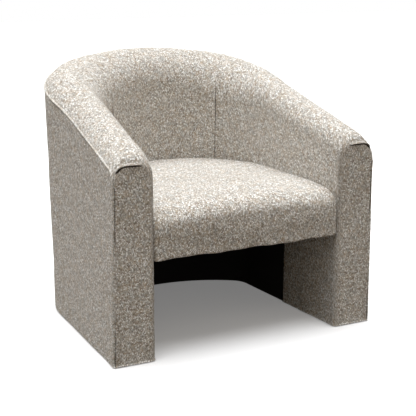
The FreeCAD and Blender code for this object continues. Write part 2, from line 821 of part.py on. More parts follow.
def fold_on_nose():
    """The folded edge across the top of the arm's front, lying on the nose."""
    tilt = math.acos(fold_drop_height / nose_radius)
    off = fold_radius + layer_gap
    station = Station(nose_radius * (1 - math.sin(tilt)))
    lift = -off * math.cos(tilt)
    first = station.over(lift, welt_radius + 3 * fold_radius)[0][0] - station.crest_reach
    start = math.asin(first / (station.outer_radius - lift))
    end = -math.radians(fold_inner_turn)
    places = []
    for i in range(3 * NOSE_STEPS + 1):
        a = start + (end - start) * i / (3 * NOSE_STEPS)
        radius = station.outer_radius if a > 0 else station.inner_radius
        n = station.crest_reach + (radius - lift) * math.sin(a)
        z = station.crest() - radius + (radius - lift) * math.cos(a)
        places.append(station.point(n, z) - FreeCAD.Vector(0, off * math.sin(tilt), 0))
    return tube(places, [FreeCAD.Vector(0, -1, 0)] * len(places), fold_radius)


both_sides("arm_fold", fold_on_nose())


# Glides under the base
def base_middle(station):
    return (station.leg(core_leg) + station.outer(base_rail_bottom, core_outer)) / 2


glide_stations = [Station(glide_front_depth)] + [Station(turn_centre_depth, a) for a in glide_angles]
right_glides = [s.point(base_middle(s), 0.0) for s in glide_stations]
glide_places = right_glides + [FreeCAD.Vector(-p.x, p.y, 0) for p in right_glides]


def pin(place, radius, low, high):
    return Part.makeCylinder(radius, high - low, FreeCAD.Vector(place.x, place.y, low))


def glide(place):
    disc = Part.makeCylinder(glide_radius, ground_gap, place)
    return disc.fuse(pin(place, glide_pin_radius, ground_gap, ground_gap + glide_pin_length))


def pinned(shape):
    """The shape with a hole for each glide's pin."""
    for place in glide_places:
        top = ground_gap + glide_pin_length + hole_clearance
        shape = shape.cut(pin(place, glide_pin_radius + hole_clearance, 0.0, top))
    return shape


pieces["glides"] = Part.makeCompound([glide(p) for p in glide_places])
both_sides("base_rail", pinned(base_rail_side))
pieces["back_base_rail"] = pinned(base_rail_back)
pieces["base_lining"] = Part.makeCompound([pinned(lining_strip_side),
                                           pinned(mirrored(lining_strip_side)),
                                           pinned(lining_strip_back)])


# Screws that hold the side rails to the arm posts
def screw_place(y, z):
    head_gap = screw_head_radius * leg_taper
    return FreeCAD.Vector(board_face(y) - seat_rail_width - head_gap, y, z)


def screw(place):
    shank_length = seat_rail_width + contact_gap + leg_board_thickness + layer_gap + screw_bite_length
    shank = Part.makeCylinder(screw_radius, shank_length, place, FreeCAD.Vector(1, 0, 0))
    seat = place - FreeCAD.Vector(screw_head_height, 0, 0)
    head = Part.makeCylinder(screw_head_radius, screw_head_height, seat,
                             FreeCAD.Vector(1, 0, 0))
    return shank.fuse(head)


corner_post_place = Station(turn_centre_depth, corner_post_angle)
screw_depths = (middle_post_depth + post_thickness / 2,
                turn_centre_depth + corner_post_place.leg(core_leg) * corner_post_place.sin)
screw_places = [screw_place(y, z) for y in screw_depths for z in screw_heights]


def drilled(shape):
    for place in screw_places:
        hole = Part.makeCylinder(screw_radius + hole_clearance, chair_width / 2,
                                 place, FreeCAD.Vector(1, 0, 0))
        shape = shape.cut(hole)
    return shape


both_sides("side_seat_rail", drilled(side_rail))
both_sides("leg_board", drilled(leg_board_side))
both_sides("arm_middle_post", drilled(middle_post))
both_sides("corner_post", drilled(corner_post))
right_screws = [screw(p) for p in screw_places]
pieces["rail_screws"] = Part.makeCompound(right_screws + [mirrored(s) for s in right_screws])

# Move to the bottom centre and write each piece
rear = Station(turn_centre_depth, 90.0)
chair_depth = turn_centre_depth + rear.outer(rear.welt_height) + welt_height_above_cover
for name, shape in pieces.items():
    shape.translate(FreeCAD.Vector(0, -chair_depth / 2, 0))
    shape.exportStep(os.path.join(OUT, name + ".step"))
    print(name, shape.ShapeType, len(shape.Solids), "valid", shape.isValid(),
          "volume cm3", round(shape.Volume / 1000, 1))
print("nodes", len(pieces), "depth", round(chair_depth, 1))
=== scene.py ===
import json
import math
import bpy
import numpy as np
from mathutils import Matrix, Vector


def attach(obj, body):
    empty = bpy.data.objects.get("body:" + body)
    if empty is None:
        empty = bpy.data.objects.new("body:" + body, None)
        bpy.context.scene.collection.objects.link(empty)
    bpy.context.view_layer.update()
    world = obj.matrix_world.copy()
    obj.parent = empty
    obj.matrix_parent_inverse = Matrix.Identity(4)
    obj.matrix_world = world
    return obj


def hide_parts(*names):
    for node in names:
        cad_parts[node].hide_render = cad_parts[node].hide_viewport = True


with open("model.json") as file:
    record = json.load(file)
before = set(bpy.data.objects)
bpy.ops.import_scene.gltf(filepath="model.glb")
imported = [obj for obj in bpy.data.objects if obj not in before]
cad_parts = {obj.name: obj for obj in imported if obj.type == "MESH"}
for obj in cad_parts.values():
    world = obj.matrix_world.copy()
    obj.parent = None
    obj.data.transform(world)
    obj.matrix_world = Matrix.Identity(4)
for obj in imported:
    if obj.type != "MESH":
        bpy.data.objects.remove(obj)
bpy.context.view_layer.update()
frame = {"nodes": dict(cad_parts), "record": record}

# A tub chair in flecked basket-weave fabric. The wall is described by the same slices as
# the solids: lengths here are millimetres, with Y = 0 at the front face of the arms, and
# every mesh is moved and scaled to the frame's metres when it is made.
HALF_DEPTH = 387.17         # from the front face to the frame's origin
MM = 0.001

# Wall
FACE_HALF = 397.0           # half the outer width at the front face, on the floor
SIDE_TAPER = 0.044          # the sides come in by this share of the depth
SIDE_FLARE = 0.014          # and by this share of the height
OUTER_CORNER = 237.0        # radii of the outer plan's corner and back
OUTER_BACK = 900.0
OUTER_APEX = 700.0          # depth of the rearmost point, on the floor
BACK_LEAN = 0.10            # the back leans out by this share of the height
INNER_LEAN = 0.05           # and its inside by this one, above the deck
FRONT_CREST = 551.0         # height of the line over the arm's top, at the front face
ARM_SLOPE = 0.27            # its rise towards the back
BACK_RISE = 25.0            # and its further rise behind the seat
SLANT = math.hypot(1.0, ARM_SLOPE)
NOSE = 45.0                 # radius of the arm's rounded front top
NOSE_TURN = math.atan2(1.0, ARM_SLOPE)      # angle of its arc, up to the slope
ARM_INSET = 62.0            # from the welt in to the crest
ARM_DROP = 43.0             # and from the crest down to the welt
BACK_INSET = 80.0
BACK_DROP = 30.0
DECK = 345.0                # height where the inside passes into the leg
GROUND_GAP = 4.0
FABRIC_DEPTH = 250.0        # of the fabric on the leg's inner side
TURN = 317.0                # depth of the centre that the slices turn about
SEAM_ANGLE = 50.0           # of the upright seams about that centre
SEAM_GAP = 0.5
WELT_DEPTH = 5.0            # of the upright welt behind the front face
WELT_RADIUS = 2.9
WELT_OUT = 0.1
OUTSIDE_START = 8.1         # depth of the outer cover's front edge
BELOW_WELT = 3.1            # and its distance below the welt

# Softness of the covers
COVER = 1.6                 # thickness
COVER_FILL = 0.95
FRONT_EDGE = 9.0            # rounding of the arm's inner front edge
HEM_ROUND = 2.2
SEAM_WIDTH = 13.0
SEAM_DEPTH = 3.4
SEAM_SHARPNESS = 0.6
SEAM_TOP_SHARE = 0.3        # of the seam's depth is left over the top of the wall
SEAM_TOP_DROP = 90.0
WELT_DIP = 1.2              # the cover dips to the welt over this width
WELT_DIP_WIDTH = 7.0
FACE_DIP = 1.6
FACE_DIP_WIDTH = 6.0
OUTSIDE_DIP = 1.3
OUTSIDE_DIP_WIDTH = 6.0
OUTSIDE_SEAM_SHARE = 0.6    # the outer cover's seams are this much shallower
EDGE_DIP_WIDTH = 5.0
BEHIND_WELT = 1.2           # the front face starts this far back, under the welt
BARE_FACE = 4.0             # depth up to which the top has no dip at the welt

# Slit and fold over the arm's nose, with places over its crest in degrees
SLIT_HEIGHT = 9.5           # above the foot of the nose
SLIT_OUT = 50.0
SLIT_IN = -13.0
SLIT_RISE = 12.0            # towards its outer end
FOLD_ABOVE = 2.6
FOLD_LIFT = 0.9
FOLD_RADIUS = 2.3
# Painted shadow in the slit: a dark cord under the fold, where there is only shade
SLIT_SHADE_BELOW = 2.0
SLIT_SHADE_FORWARD = 1.1
SLIT_SHADE_RADIUS = 2.5
SLIT_SHADE_WIDENING = 1.3         # at the slit's outer end
GROOVE = 6.0                # depth of the slit in the cover, and half its width
GROOVE_HALF = 1.5
LIP = 1.6                   # the cover swells above the slit and dips below it
LIP_DIP = 1.2

# Rows and columns of the meshes
OVER_COLUMNS = 42
INTO_COLUMNS = 48
SIDE_COLUMNS = 44
LEG_COLUMNS = 55
LEG_COLUMNS_END = 22.0      # height where the rows of the hem begin
LEG_BLEND = 60.0            # the inside passes into the leg's plan over this height
RUN_COLUMN = OVER_COLUMNS + 20          # the weave's run along the wall is true here
HEM_HEIGHTS = [GROUND_GAP, 4.25, 4.7, 5.6, 7.0, 9.0, 12.0, 16.0]

# Weave
WEAVE_PITCH = 3.5
YARN_STRAY = 0.9            # in pitches
YARN_ROUNDNESS = 0.6
PLAIN_SHARE = 0.81          # of the yarn without a bright fleck
LIT_SHARE = 0.80            # of the yarn without a dark shade


class Plan:
    """Half a U in plan: a tapering side, a corner arc and a back arc."""

    def __init__(self, half, taper, corner, back, apex):
        self.half, self.taper, self.corner, self.back, self.apex = half, taper, corner, back, apex
        self.slant = math.hypot(1.0, taper)
        self.back_y = apex - back
        start = half - corner * self.slant
        a = 1.0 + taper ** 2
        b = -2.0 * (start * taper + self.back_y)
        c = start ** 2 + self.back_y ** 2 - (back - corner) ** 2
        self.cy = (-b + math.sqrt(b * b - 4 * a * c)) / (2 * a)
        self.cx = start - taper * self.cy
        self.side_end_y = self.cy + corner * taper / self.slant
        self.centres = math.hypot(self.cx, self.cy - self.back_y)
        self.back_end_x = self.cx / self.centres * back

    def inset(self, d):
        return Plan(self.half - d * self.slant, self.taper, self.corner - d, self.back - d,
                    self.apex - d)

    def side(self, y):
        return self.half - self.taper * y

    def reach(self, y0, angle):
        """Distance to the plan from a point on the middle line, at this angle."""
        c, s = abs(math.cos(angle)), math.sin(angle)
        t = (self.half - self.taper * y0) / (c + self.taper * s)
        if y0 + t * s <= self.side_end_y:
            return t
        t = self.to_circle(y0, c, s, 0.0, self.back_y, self.back)
        if t * c <= self.back_end_x:
            return t
        return self.to_circle(y0, c, s, self.cx, self.cy, self.corner)

    @staticmethod
    def to_circle(y0, c, s, x, y, r):
        along = c * x + s * (y - y0)
        away = x * x + (y - y0) ** 2 - r * r
        return along + math.sqrt(max(along ** 2 - away, 0.0))

    def clear(self, x, y):
        """Distance from a point inside to the side, corner or back."""
        x = abs(x)
        if y <= self.cy:
            return (self.side(y) - x) / self.slant
        if x * (self.cy - self.back_y) < self.cx * (y - self.back_y):
            return self.back - math.hypot(x, y - self.back_y)
        if x <= self.cx:
            return self.corner
        return self.corner - math.hypot(x - self.cx, y - self.cy)


OUTER_PLAN = Plan(FACE_HALF, SIDE_TAPER, OUTER_CORNER, OUTER_BACK, OUTER_APEX)
SITTING_PLAN = Plan(half=280.0, taper=0.0757, corner=240.0, back=300.0, apex=575.0)
LEG_PLAN = Plan(half=280.0, taper=0.063, corner=60.0, back=388.0, apex=571.0)


class Slice:
    """One upright slice of the wall; n is measured out from the chair's middle."""

    def __init__(self, y0, angle=0.0):
        a = math.radians(angle)
        self.y0, self.angle, self.cos, self.sin = y0, a, math.cos(a), math.sin(a)
        turned = self.sin ** 2
        self.floor = OUTER_PLAN.reach(y0, a)
        self.sitting = SITTING_PLAN.reach(y0, a)
        self.leg = LEG_PLAN.reach(y0, a)
        self.lean = BACK_LEAN * turned - SIDE_FLARE * (1 - turned)
        self.inner_lean = INNER_LEAN * turned
        self.inset = ARM_INSET + (BACK_INSET - ARM_INSET) * turned
        self.drop = ARM_DROP + (BACK_DROP - ARM_DROP) * turned
        self.outer_r = (self.inset ** 2 + self.drop ** 2) / (2 * self.drop)
        behind = y0 + (self.floor - self.inset) * self.sin
        self.line = FRONT_CREST + ARM_SLOPE * behind + BACK_RISE * self.sin ** 4
        self.crest_n = self.outer(self.line - self.drop) - self.inset
        room = self.crest_n - self.inner(self.line)
        self.inner_r = room / (math.hypot(1.0, self.inner_lean) - self.inner_lean)
        self.crest = self.rounded(self.line, NOSE, 0.0, 0.0)
        self.welt_z = self.rounded(self.line - self.drop, NOSE - WELT_DEPTH, WELT_DEPTH, 0.0)
        self.cover_top = self.rounded(self.line - self.drop, NOSE - OUTSIDE_START,
                                      OUTSIDE_START, BELOW_WELT)

    def rounded(self, line, radius, front, depth):
        """Height of a sloping line, this far below it and rounded down at the front."""
        if self.angle == 0 and self.y0 < front + radius * (1 - ARM_SLOPE / SLANT):
            foot = line + ARM_SLOPE * (front + radius - self.y0) - (radius + depth) * SLANT
            return foot + math.sqrt(max(radius ** 2 - (front + radius - self.y0) ** 2, 0.0))
        return line - depth * SLANT

    def outer(self, z):
        return self.floor + self.lean * z

    def inner(self, z):
        return self.sitting + self.inner_lean * (z - DECK)

    def place(self, n, z):
        return (n * self.cos, self.y0 + n * self.sin, z)


# Numbers and shapes
def smooth(t):
    t = np.clip(t, 0.0, 1.0)
    return t * t * (3 - 2 * t)


def round_over(distance, width):
    """1 at an edge, and down a quarter circle to 0 at this width from it."""
    t = 1 - np.clip(distance / width, 0.0, 1.0)
    return 1 - np.sqrt(1 - t ** 2)


def waves(p, size, seed, count=7, total=3.2):
    """Slow unevenness of stuffed fabric, about -1 to 1, from a few fixed waves."""
    rng = np.random.default_rng(seed)
    out = np.zeros(len(p))
    for _ in range(count):
        k = rng.normal(size=3)
        k *= 2 * math.pi / (size * rng.uniform(0.7, 1.5) * np.linalg.norm(k))
        out += np.sin(p @ k + rng.uniform(0, 2 * math.pi))
    return out / total


def uneven(count, size, seed, window=7):
    """Slow unevenness along a cord."""
    rng = np.random.default_rng(seed)
    raw = rng.normal(size=count + 12)
    return size * np.convolve(raw, np.ones(window) / window, mode="same")[:count]


def spread(a, b, count):
    return [a + (b - a) * i / (count - 1) for i in range(count)]


def lengths(points):
    """Running length along each row of a (rows, columns, 3) array."""
    step = np.linalg.norm(np.diff(points, axis=1), axis=2)
    return np.concatenate([np.zeros((len(points), 1)), np.cumsum(step, axis=1)], axis=1)


def running(points, column):
    """Length from the first row to each row, along one column."""
    step = np.linalg.norm(np.diff(points[:, column], axis=0), axis=1)
    return np.concatenate([[0.0], np.cumsum(step)])


# Meshes
def vertex_normals(p, quads):
    """Normals of the vertices of an (k, 4) array of quads."""
    d1 = p[quads[:, 2]] - p[quads[:, 0]]
    d2 = p[quads[:, 3]] - p[quads[:, 1]]
    face_normals = np.cross(d1, d2)
    out = np.zeros_like(p)
    for k in range(4):
        np.add.at(out, quads[:, k], face_normals)
    return out / np.maximum(np.linalg.norm(out, axis=1, keepdims=True), 1e-9)


def squares(table):
    """Quads between the rows and columns of a table of vertex numbers."""
    corners = [table[:-1, :-1], table[:-1, 1:], table[1:, 1:], table[1:, :-1]]
    return np.stack(corners, axis=-1).reshape(-1, 4)


def grid_quads(rows, columns, closed=False):
    table = np.arange(rows * columns).reshape(rows, columns)
    if closed:
        table = np.hstack([table, table[:, :1]])
    return squares(table)


def corner_uv(u, v, quads):
    return np.stack([u.reshape(-1), v.reshape(-1)], axis=-1)[quads]


def make(name, p, quads, uv=None, mirror=False, material=None, extra=(), thick=0.0):
    """A mesh object from millimetre points; uv gives each corner's place in the weave."""
    p = np.array(p, dtype=float)
    if mirror:
        p[:, 0] *= -1
        quads = quads[:, ::-1]
        uv = None if uv is None else uv[:, ::-1]
    mesh = bpy.data.meshes.new(name)
    faces = [tuple(q) for q in quads.tolist()] + [tuple(f) for f in extra]
    shift = np.array([0.0, -HALF_DEPTH, 0.0])
    mesh.from_pydata(((p + shift) * MM).tolist(), [], faces)
    layer = mesh.uv_layers.new(name="weave")
    if uv is not None:
        flat = np.zeros((len(mesh.loops), 2))
        flat[:uv.shape[0] * 4] = (uv * MM).reshape(-1, 2)
        layer.data.foreach_set("uv", flat.reshape(-1))
    mesh.polygons.foreach_set("use_smooth", [True] * len(mesh.polygons))
    mesh.update()
    obj = bpy.data.objects.new(name, mesh)
    bpy.context.scene.collection.objects.link(obj)
    if material:
        mesh.materials.append(material)
    if thick:
        cloth = obj.modifiers.new("cloth", "SOLIDIFY")
        cloth.thickness = thick * MM
        cloth.offset = -1.0
        cloth.use_even_offset = False
    return obj


def own(obj, slot, *nodes, fill=None):
    """The piece stands for these nodes, which it hides; its slot is not used."""
    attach(obj, "root")
    if nodes:
        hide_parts(*nodes)


# Materials
class Socket:
    """A value in a shader; arithmetic on it adds Math nodes."""

    def __init__(self, tree, out=None):
        self.tree, self.out = tree, out

    def node(self, kind, settings, values, output=0):
        """A node with these settings, and these values or links in its sockets."""
        node = self.tree.nodes.new("ShaderNode" + kind)
        for key, value in settings.items():
            setattr(node, key, value)
        self.fill(node, values)
        return Socket(self.tree, node.outputs[output])

    def fill(self, node, values):
        for key, value in values.items():
            if isinstance(value, Socket):
                self.tree.links.new(value.out, node.inputs[key])
            else:
                node.inputs[key].default_value = value

    def other(self, output):
        """Another output of the node that this value comes from."""
        return Socket(self.tree, self.out.node.outputs[output])

    def maths(self, operation, *values):
        return self.node("Math", {"operation": operation}, dict(enumerate(values)))

    def __add__(self, v):
        return self.maths("ADD", self, v)

    def __radd__(self, v):
        return self.maths("ADD", v, self)

    def __sub__(self, v):
        return self.maths("SUBTRACT", self, v)

    def __rsub__(self, v):
        return self.maths("SUBTRACT", v, self)

    def __mul__(self, v):
        return self.maths("MULTIPLY", self, v)

    def __rmul__(self, v):
        return self.maths("MULTIPLY", v, self)

    def floor(self):
        return self.maths("FLOOR", self)

    def part(self):
        return self.maths("FRACT", self)

    def hump(self):
        """Half a sine over 0 to 1."""
        return self.maths("SINE", self * math.pi)

    def power(self, v):
        return self.maths("POWER", self, v)

    def over(self, v):
        return self.maths("GREATER_THAN", self, v)

    def held(self):
        """Kept within 0 and 1."""
        return self.maths("MINIMUM", self.maths("MAXIMUM", self, 0.0), 1.0)


def mix_colour(nodes, factor, a, b):
    a, b = ((*value, 1.0) if isinstance(value, tuple) else value for value in (a, b))
    return nodes.node("Mix", {"data_type": "RGBA"}, {0: factor, 6: a, 7: b}, 2)


def noise(nodes, place, scale, detail=2.0, roughness=0.5, output="Fac"):
    return nodes.node("TexNoise", {}, {"Vector": place, "Scale": scale, "Detail": detail,
                                       "Roughness": roughness}, output)


def start_material(name):
    material = bpy.data.materials.new(name)
    material.use_nodes = True
    return material, Socket(material.node_tree), material.node_tree.nodes["Principled BSDF"]


def add_bump(nodes, shader, height, distance, strength=1.0):
    values = {"Strength": strength, "Distance": distance, "Height": height}
    nodes.fill(shader, {"Normal": nodes.node("Bump", {}, values)})


def weave_material(name, dark, middle, pitch):
    """Basket weave of flecked, slightly hairy yarn, laid out by the weave map."""
    material, nodes, shader = start_material(name)
    uv = nodes.node("UVMap", {"uv_map": "weave"}, {})
    stray = nodes.node("SeparateColor", {}, {0: noise(nodes, uv, 110.0, output="Color")})
    place = nodes.node("SeparateXYZ", {}, {0: uv})
    per_metre = 1.0 / (pitch * MM)
    u = place * per_metre + (stray - 0.5) * YARN_STRAY
    v = place.other(1) * per_metre + (stray.other(1) - 0.5) * YARN_STRAY
    across, along = u.part(), v.part()
    odd = ((u.floor() + v.floor()) * 0.5).part() * 2.0
    warp = (along * 2.0).part().hump() * across.hump()
    weft = (across * 2.0).part().hump() * along.hump()
    yarn = (warp * odd + weft * (1.0 - odd)).power(YARN_ROUNDNESS)

    def chance(shift, columns, rows):
        """A random number for each cell, with so many columns and rows of them to a pitch."""
        cell = nodes.node("CombineXYZ", {}, {0: (u * columns + shift).floor(),
                                             1: (v * rows + shift).floor()})
        return nodes.node("TexWhiteNoise", {"noise_dimensions": "2D"}, {"Vector": cell}, "Value")

    hair = noise(nodes, uv, 1700.0, 3.0, 0.7) - 0.5
    slub = noise(nodes, uv, 330.0) - 0.5
    cell, thread = chance(0.0, 1.0, 1.0) - 0.5, chance(7.0, 2.0, 1.0)
    fleck = chance(3.5, 1.5, 1.1).over(PLAIN_SHARE)
    shade = chance(12.3, 1.5, 1.1).over(LIT_SHARE)
    tint = chance(21.0, 0.8, 0.8) * 0.6 + (noise(nodes, uv, 45.0, 3.0) - 0.5) * 1.6 + 0.2
    warm = tuple(c * w for c, w in zip(middle, WARM))
    cool = tuple(c * w for c, w in zip(middle, COOL))
    colour = mix_colour(nodes, tint.held(), warm, cool)
    bright = fleck * 1.4 + cell * 0.9 + thread * 0.25 + slub * 0.8 + hair + 0.02
    colour = mix_colour(nodes, (bright * 0.8).held(), colour, LIGHT)
    # Painted shade between the yarns: darker where the yarn is low; the rest is random tone, hair and
    # slubs
    deep = 0.56 - yarn * 0.90 + shade * 0.62 - cell * 0.5 + hair * 0.9 - slub * 0.4 - fleck * 0.35
    colour = mix_colour(nodes, deep.held(), colour, dark)
    nodes.fill(shader, {"Base Color": colour, "Roughness": 0.95, "Specular IOR Level": 0.15,
                        "Sheen Weight": 0.2, "Sheen Roughness": 0.6})
    add_bump(nodes, shader, yarn + hair * 0.5 + slub * 0.4, 0.0009, 0.9)
    return material


def plain_material(name, colour, roughness=0.6, metallic=0.0, grain=0.0, scale=300.0, bump=0.0):
    """One colour with a fine uneven grain."""
    material, nodes, shader = start_material(name)
    grains = noise(nodes, nodes.node("TexCoord", {}, {}, "Object"), scale, 4.0)
    darker = tuple(c * (1.0 - grain) for c in colour)
    nodes.fill(shader, {"Base Color": mix_colour(nodes, grains, darker, colour),
                        "Roughness": roughness, "Metallic": metallic})
    if bump:
        add_bump(nodes, shader, grains, bump)
    return material


def wood_material():
    """Bare hardwood with its rings drawn out along the grain."""
    material, nodes, shader = start_material("frame_wood")
    place = nodes.node("TexCoord", {}, {}, "Object")
    stretched = nodes.node("Mapping", {}, {"Vector": place, "Scale": (60.0, 60.0, 4.0)})
    rings = noise(nodes, stretched, 1.0, 5.0, 0.6)
    nodes.fill(shader, {"Base Color": mix_colour(nodes, rings, (0.50, 0.33, 0.17), (0.76, 0.60, 0.40)),
                        "Roughness": 0.7})
    return material


def floor_material():
    """White where the camera sees it, greyer in what it throws back."""
    material, nodes, shader = start_material("floor_white")
    seen = nodes.node("LightPath", {}, {}, "Is Camera Ray")
    nodes.fill(shader, {"Base Color": mix_colour(nodes, seen, (0.11, 0.10, 0.09), (0.80, 0.80, 0.80)),
                        "Emission Color": mix_colour(nodes, seen, (0.0, 0.0, 0.0), (0.17, 0.17, 0.17)),
                        "Emission Strength": 1.0, "Roughness": 1.0, "Specular IOR Level": 0.0})
    return material


LIGHT = (1.0, 1.0, 0.98)
WARM = (1.12, 0.99, 0.84)
COOL = (0.90, 1.01, 1.14)
FABRIC = weave_material("cover_fabric", (0.17, 0.135, 0.095), (0.52, 0.47, 0.40), WEAVE_PITCH)
WELT_FABRIC = weave_material("welt_fabric", (0.28, 0.25, 0.20), (0.68, 0.64, 0.57), 2.7)
FOLD_FABRIC = weave_material("fold_fabric", (0.30, 0.27, 0.22), (0.70, 0.66, 0.60), 3.0)
FINISHES = {
    # Black lining under the seat and behind the leg fabric: a real lining, whose near-black colour also
    # paints in the deep shade there
    "black_lining": plain_material("black_lining", (0.012, 0.012, 0.013), 0.95, grain=0.3,
                                   scale=900.0, bump=0.0002),
    "wadding": plain_material("wadding", (0.88, 0.88, 0.86), 0.95, grain=0.1, bump=0.001),
    "foam": plain_material("foam", (0.86, 0.80, 0.55), 0.9, grain=0.15, scale=700.0, bump=0.0004),
    "felt": plain_material("felt", (0.36, 0.35, 0.33), 0.95, grain=0.4, scale=500.0),
    "webbing": plain_material("webbing", (0.10, 0.09, 0.085), 0.8, grain=0.4, scale=600.0),
    "board": plain_material("board", (0.46, 0.33, 0.20), 0.85, grain=0.2, scale=400.0),
    "frame_wood": wood_material(),
    "spring_steel": plain_material("spring_steel", (0.30, 0.30, 0.31), 0.4, 0.9, grain=0.3),
    "zinc_steel": plain_material("zinc_steel", (0.62, 0.63, 0.65), 0.35, 1.0, grain=0.15),
    "glide_plastic": plain_material("glide_plastic", (0.02, 0.02, 0.02), 0.5, grain=0.2),
}
# Painted shade: near-black cords for the slit, beside the welts and in the seams, where there is only
# shade
PAINTED_SHADE = plain_material("painted_shade_cord", (0.020, 0.016, 0.013), 0.95, grain=0.3, scale=900.0)
THREAD = plain_material("stitch_thread", (0.09, 0.075, 0.06), 0.8, grain=0.4, scale=900.0)


# Slices and columns of the wall
def seam_stop(side):
    """Angle where a panel ends, before or after the seam."""
    gap = math.degrees(SEAM_GAP / 2 / OUTER_PLAN.reach(TURN, math.radians(SEAM_ANGLE)))
    return SEAM_ANGLE + side * gap


def nose_depths(start, count):
    """Depths over the rounded nose, from this one to where the slope begins."""
    first = math.acos((NOSE - start) / NOSE)
    return [NOSE * (1 - math.cos(a)) for a in spread(first, NOSE_TURN, count)]


def arm_run(start, straight, turn):
    """Slices from this depth along an arm, and round its corner to the seam."""
    run = [Slice(y) for y in spread(start, TURN, straight)]
    return run + [Slice(TURN, a) for a in spread(0.0, seam_stop(-1), turn)[1:]]


def arm_slices():
    edge = [FRONT_EDGE * (1 - math.cos(a)) for a in spread(0.0, math.pi / 2, 31)]
    nose = edge + nose_depths(FRONT_EDGE, 16)[1:]
    return [Slice(y) for y in nose] + arm_run(nose[-1], 74, 78)[1:]


def arm_outside_slices():
    nose = nose_depths(OUTSIDE_START, 18)
    return [Slice(y) for y in nose] + arm_run(nose[-1], 60, 70)[1:]


def back_slices(count=130):
    first = seam_stop(1)
    return [Slice(TURN, a) for a in spread(first, 180.0 - first, count)]


def section(s, with_leg=False):
    """A slice from the welt over the top and down, as (n, z, tilt over the crest)."""
    start = math.asin(s.inset / s.outer_r)
    end = math.pi / 2 - math.atan(s.inner_lean)
    pull = FRONT_EDGE * float(round_over(s.y0, FRONT_EDGE))
    low_outer = s.crest - s.outer_r
    low_inner = s.crest - s.inner_r
    out = [(s.crest_n + s.outer_r * math.sin(a), low_outer + s.outer_r * math.cos(a),
            math.degrees(a)) for a in spread(start, 0.0, OVER_COLUMNS)]
    for a in spread(0.0, end, INTO_COLUMNS + 1)[1:]:
        r = s.inner_r - pull * math.sin(a) ** 2
        out.append((s.crest_n - r * math.sin(a), low_inner + r * math.cos(a), -math.degrees(a)))
    for z in spread(out[-1][1], DECK, SIDE_COLUMNS + 1)[1:]:
        out.append((s.inner(z) + pull, z, -90.0))
    if with_leg:
        for z in spread(DECK, LEG_COLUMNS_END, LEG_COLUMNS)[1:] + HEM_HEIGHTS[::-1]:
            mixed = smooth((DECK - z) / LEG_BLEND)
            out.append((s.inner(DECK) * (1 - mixed) + s.leg * mixed + pull, z, -90.0))
    return out


def wall_points(slices):
    return np.array([[s.place(n, z) for n, z, _ in section(s)] for s in slices])


# Softness
def hem_pull(z):
    """How far a hem is rounded in at this height."""
    return HEM_ROUND * round_over(z - GROUND_GAP, HEM_ROUND)


def seam_valley(distance):
    """Soft valley where a seam draws the padding in."""
    return -SEAM_DEPTH * round_over(distance, SEAM_WIDTH) ** SEAM_SHARPNESS


def seam_fade(drop):
    """The seams are drawn in less over the top of the wall."""
    return SEAM_TOP_SHARE + (1 - SEAM_TOP_SHARE) * smooth(drop / SEAM_TOP_DROP)


def seam_push(body, angles):
    """Valley of an upright seam that is turned this far from each row of the wall."""
    reach = np.linalg.norm(body[..., :2] - np.array([0.0, TURN]), axis=-1)
    drop = body[..., 2].max(axis=1, keepdims=True) - body[..., 2]
    return seam_valley(angles[:, None] * reach) * seam_fade(drop)


def slit_turn(tilt, above=0.0):
    """Angle on the nose of a line this far above the slit."""
    return math.asin((SLIT_HEIGHT + above) / NOSE) + SLIT_RISE / NOSE * smooth(tilt / SLIT_OUT)


def slit_push(slices, tilt):
    """Groove of the slit across the nose, with a lip over it and a dip below."""
    foot = slices[0].crest
    turn = np.array([math.atan2(s.crest - foot, NOSE - s.y0) if s.y0 < NOSE else math.inf
                     for s in slices])
    past = NOSE * (turn[:, None] - slit_turn(tilt))
    across = smooth((SLIT_OUT + 5.0 - tilt) / 7.0) * smooth((tilt - SLIT_IN + 6.0) / 9.0)
    groove = -GROOVE * np.exp(-(past / GROOVE_HALF) ** 4)
    lip = LIP * smooth((past - 1.0) / 1.6) * (1 - smooth((past - 6.0) / 9.0))
    dip = -LIP_DIP * smooth(-past) * (1 - smooth((-past - 3.0) / 9.0))
    return (groove + lip + dip) * across


# Inner covers
def arm_face(first, edge, turn_row):
    """Front face of an arm, in rows that fan out from the upright welt to its edge."""
    foot_z = first.rounded(first.line - ARM_DROP, NOSE, 0.0, 0.0)
    z = np.concatenate([np.linspace(foot_z, edge[turn_row, 2], turn_row + 1)[:-1],
                        edge[turn_row:, 2]])
    start = np.stack([FACE_HALF - SIDE_FLARE * z, np.zeros(len(z)), z], axis=-1)
    fan = [0.0, 0.006, 0.014, 0.026, 0.045, 0.075] + spread(0.11, 1.0, 40)[:-1]
    return start[None] + (edge[None] - start[None]) * np.array(fan)[:, None, None]


